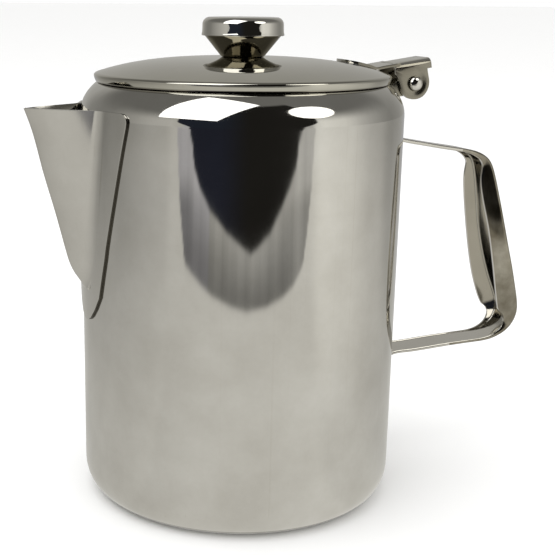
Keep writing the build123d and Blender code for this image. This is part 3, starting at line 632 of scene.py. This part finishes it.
def floor_tone(az, r):
    near_, far_ = lut(az, TONE_NEAR), lut(az, TONE_FAR)
    k = min(max((math.log(max(r, 1.0)) - math.log(180.0)) / (math.log(1400.0) - math.log(180.0)), 0.0), 1.0)
    v = near_ + (far_ - near_) * k
    v *= 1 + (lut(r, GAIN_RIGHT) - 1) * sstep(az, 46, 56) * (1 - sstep(az, 108, 124))
    v *= 1 + (lut(r, GAIN_LEFT) - 1) * sstep(-az, 44, 52) * (1 - sstep(-az, 88, 100))
    bl = sstep(abs(az), 140, 165)
    c = np.array([v, v * (0.985 + 0.015 * bl), v * (0.93 + 0.09 * bl)])
    if -43.5 < az < 51:
        te = lut(az, TABLE_EDGE)
        g = sstep(r, te * 0.98, te * 1.03)
        de = lut(az, DARK_EDGE) if -35 < az < 43.5 else 1e9
        across = min(max((r - te) / max(min(de, 2400.0) - te, 1.0), 0.0), 1.0)
        gv = 0.205 + 0.31 * across ** 1.2 + 0.28 * sstep(r, 760, 1050) * (1 - 0.5 * across) + 0.15 * sstep(az, 29, 41)
        gv = min(gv, 0.58) * (1 + 0.05 * math.sin(az * 0.83 + 0.4) + 0.04 * math.sin(az * 0.47 + 2.0) + 0.02 * math.sin(az * 2.1 + 1.0))
        gc = np.array([gv, gv * 0.985, gv * (0.94 if az > -20 else 1.03)])
        c = c * (1 - g) + gc * g
        if de < 1e8:
            k2 = sstep(r, de * 0.985, de * 1.02)
            kd = sstep(az, -16, 8)
            dark = np.array([.020, .022, .034]) * (1 - kd) + np.array([.0166, .0156, .0139]) * kd
            c = c * (1 - k2) + dark * k2
    return c


radii = [60.0]
while radii[-1] < 2600:
    radii.append(radii[-1] * 1.021)
card = polar("table_seen_in_metal", radii, -0.10, 360)
ca = card.data.color_attributes.new("tone", "FLOAT_COLOR", "POINT")
k = 0
for r in radii:
    for i in range(360):
        a = i if i <= 180 else i - 360
        c3 = floor_tone(float(a), r)
        ca.data[k].color = (float(c3[0]), float(c3[1]), float(c3[2]), 1.0)
        k += 1
mt = bpy.data.materials.new("table_seen_in_metal")
mt.use_nodes = True
nt = mt.node_tree
nt.nodes.clear()
at_ = nt.nodes.new("ShaderNodeAttribute")
at_.attribute_name = "tone"
em = nt.nodes.new("ShaderNodeEmission")
mo = nt.nodes.new("ShaderNodeOutputMaterial")
nt.links.new(at_.outputs["Color"], em.inputs["Color"])
nt.links.new(em.outputs[0], mo.inputs[0])
card.data.materials.append(mt)
card.visible_camera = False
card.visible_diffuse = False
card.visible_shadow = False


def glow(name, colour):
    m_ = bpy.data.materials.new(name)
    m_.use_nodes = True
    t_ = m_.node_tree
    t_.nodes.clear()
    e_ = t_.nodes.new("ShaderNodeEmission")
    e_.inputs["Color"].default_value = (*colour, 1)
    o_ = t_.nodes.new("ShaderNodeOutputMaterial")
    t_.links.new(e_.outputs[0], o_.inputs[0])
    return m_


quad = [(-1008, -611, 582), (-330, -1151, 556), (191, -494, 1271), (-280, -38, 1339)]
box1 = stage_mesh("square_softbox", [tuple(p) for p in quad], [(0, 1, 2, 3)])
box1.data.materials.append(glow("softbox_white", (2.6, 2.6, 2.6)))
pa, pb, pc, pd = (np.array(q, float) for q in ((1002, -317, 821), (557, -725, 1005), (714, -326, 1111), (893, -735, 642)))
oc, oa, ob = (pa + pb + pc + pd) / 4, (pa - pb) / 2, (pc - pd) / 2
rim = [oc + oa * math.cos(2 * math.pi * i / 96) + ob * math.sin(2 * math.pi * i / 96) for i in range(96)]
box2 = stage_mesh("round_softbox", [tuple(p) for p in rim], [tuple(range(96))])
box2.data.materials.append(glow("softbox_warm", (2.62, 2.58, 2.46)))
for o in (box1, box2):
    o.visible_camera = False
    o.visible_diffuse = False
    o.visible_shadow = False

# world: a studio whose walls are seen only in the metal; plain white for the camera and for the floor's own light
world = bpy.data.worlds.new("studio")
bpy.context.scene.world = world
world.use_nodes = True
wt = world.node_tree
wt.nodes.clear()
W = wt.nodes
LW = wt.links.new


def wmath(op, a, b=None, c=None, clamp=False):
    n = W.new("ShaderNodeMath")
    n.operation = op
    n.use_clamp = clamp
    for i, v in enumerate((a, b, c)):
        if v is None:
            continue
        if isinstance(v, (int, float)):
            n.inputs[i].default_value = v
        else:
            LW(v, n.inputs[i])
    return n.outputs[0]


tc = W.new("ShaderNodeTexCoord")
vr = W.new("ShaderNodeVectorRotate")
vr.rotation_type = "Z_AXIS"
vr.inputs["Angle"].default_value = AZ
LW(tc.outputs["Generated"], vr.inputs["Vector"])
sep = W.new("ShaderNodeSeparateXYZ")
LW(vr.outputs[0], sep.inputs[0])
X, Y, Z = sep.outputs[0], sep.outputs[1], sep.outputs[2]
# azimuth in degrees, 0 towards the camera, + to the camera's right; elevation in degrees
az = wmath("MULTIPLY", wmath("ARCTAN2", X, wmath("MULTIPLY", Y, -1.0)), 57.29578)
el = wmath("MULTIPLY", wmath("ARCSINE", wmath("MINIMUM", wmath("MAXIMUM", Z, -1.0), 1.0)), 57.29578)


def smooth(v, a, b):
    n = W.new("ShaderNodeMapRange")
    n.interpolation_type = "SMOOTHSTEP"
    LW(v, n.inputs["Value"])
    n.inputs["From Min"].default_value = a
    n.inputs["From Max"].default_value = b
    return n.outputs[0]


def ramp(v, lo, hi, stops):
    m = W.new("ShaderNodeMapRange")
    LW(v, m.inputs["Value"])
    m.inputs["From Min"].default_value = lo
    m.inputs["From Max"].default_value = hi
    r = W.new("ShaderNodeValToRGB")
    r.color_ramp.interpolation = "LINEAR"
    els = r.color_ramp.elements
    while len(els) > 1:
        els.remove(els[-1])
    first = True
    for p, c in stops:
        q = (p - lo) / (hi - lo)
        if first:
            els[0].position = q
            els[0].color = (*c, 1)
            first = False
        else:
            e = els.new(q)
            e.color = (*c, 1)
    LW(m.outputs[0], r.inputs["Fac"])
    return r.outputs["Color"]


def grey(v, warm=1.0):
    return (v, v * (1 - 0.015 * warm), v * (1 - 0.07 * warm))


def mix(fac, a, b):
    n = W.new("ShaderNodeMix")
    n.data_type = "RGBA"
    if isinstance(fac, float):
        n.inputs["Factor"].default_value = fac
    else:
        LW(fac, n.inputs["Factor"])
    for sock, v in (("A", a), ("B", b)):
        if isinstance(v, tuple):
            n.inputs[sock].default_value = (*v, 1)
        else:
            LW(v, n.inputs[sock])
    return n.outputs["Result"]


# walls, by azimuth
wall = ramp(az, -180, 180, [(-180, grey(.47)), (-150, grey(.45)), (-136, grey(.32)), (-118, grey(.26)), (-104, grey(.27)), (-83, grey(.42)), (-65, grey(.55)), (-48, grey(.66)), (-40, grey(.60)), (-38.5, grey(.55, -0.6)),
                            (-32, grey(.53, -0.8)), (-28, grey(.50, -0.5)), (43.5, grey(.50)), (49, grey(.52)), (52, grey(.85)), (58, grey(1.0)), (76, grey(.90)), (90, grey(.62)), (100, grey(.48)), (115, grey(.34)), (127, grey(.29)), (140, grey(.33)),
                            (160, grey(.42)), (180, grey(.47))])
# the upper room is a dim grey; it stays lighter for longer behind the pot
back = wmath("MULTIPLY", smooth(wmath("ABSOLUTE", az), 125, 160), 25.0)
col = mix(smooth(wmath("SUBTRACT", el, back), 12, 38), wall, grey(0.19))
# the dark room behind the camera
lean = smooth(el, -6, 13)
az_l = wmath("SUBTRACT", -34.5, wmath("MULTIPLY", lean, 10.5))
az_r = wmath("ADD", 42.5, wmath("MULTIPLY", lean, 12.0))
in_dark = wmath("MULTIPLY", wmath("MULTIPLY", smooth(wmath("SUBTRACT", az, az_l), 0.0, 1.4), smooth(wmath("SUBTRACT", az_r, az), 0.0, 1.4)), smooth(el, 67, 61))
darkc = mix(smooth(az, -16, 8), (.020, .024, .036), (.0166, .0156, .0139))
col = mix(in_dark, col, darkc)

lp = W.new("ShaderNodeLightPath")
bg1 = W.new("ShaderNodeBackground")
LW(col, bg1.inputs["Color"])
bg2 = W.new("ShaderNodeBackground")
bg2.inputs["Color"].default_value = (1, 1, 1, 1)
bg2.inputs["Strength"].default_value = 1.0
plain = wmath("MAXIMUM", lp.outputs["Is Camera Ray"], lp.outputs["Is Diffuse Ray"])
LW(wmath("ADD", 1.0, wmath("MULTIPLY", lp.outputs["Is Diffuse Ray"], 0.26)), bg2.inputs["Strength"])
ms = W.new("ShaderNodeMixShader")
LW(plain, ms.inputs[0])
LW(bg1.outputs[0], ms.inputs[1])
LW(bg2.outputs[0], ms.inputs[2])
wo = W.new("ShaderNodeOutputWorld")
LW(ms.outputs[0], wo.inputs[0])

# one big soft light for the faint shadow on the floor
la = bpy.data.lights.new("soft_key", "AREA")
la.shape = "DISK"
la.size = 1.6
la.energy = 9.0
lo = bpy.data.objects.new("soft_key", la)
bpy.context.scene.collection.objects.link(lo)
kx, ky = stage_to_part(-500.0, -350.0)
lo.location = (kx * MM, ky * MM, 1.5)
lo.rotation_euler = (Vector((0, 0, 0.05)) - lo.location).to_track_quat("-Z", "Y").to_euler()
lo.visible_glossy = False
lo.visible_camera = False

# ------------------------------------------------------------------- camera
cam_data = bpy.data.cameras.new("camera")
cam = bpy.data.objects.new("camera", cam_data)
bpy.context.scene.collection.objects.link(cam)
bpy.context.scene.camera = cam
F_PX, YAW, PITCH, ROLL = 1141.41515, -0.04322, 0.25845, 0.0078
CX, CY, CZ = 1.604, -464.832 - 1.888, 201.857 + 1.136
cam_data.sensor_width = 36.0
cam_data.lens = F_PX / 555.0 * 36.0
cam_data.shift_x = 0.15
cam_data.shift_y = 0.04
cp, sp = math.cos(PITCH), math.sin(PITCH)
cy, sy = math.cos(YAW), math.sin(YAW)
fw = Vector((sy * cp, cy * cp, -sp))
rt = Vector((cy, -sy, 0.0))
up = rt.cross(fw)
c, s = math.cos(ROLL), math.sin(ROLL)
r2, u2 = rt * c + up * s, -rt * s + up * c


def turn_vec(v):
    x, y = stage_to_part(v.x, v.y)
    return Vector((x, y, v.z))


from mathutils import Matrix
r2, u2, fw = turn_vec(r2), turn_vec(u2), turn_vec(fw)
px, py = stage_to_part(CX, CY)
m = Matrix(((r2.x, u2.x, -fw.x, px * MM), (r2.y, u2.y, -fw.y, py * MM), (r2.z, u2.z, -fw.z, CZ * MM), (0, 0, 0, 1)))
cam.matrix_world = m
cam_data.clip_start, cam_data.clip_end = 0.01, 50.0

bpy.context.scene.view_settings.view_transform = "Standard"
bpy.context.scene.view_settings.look = "None"
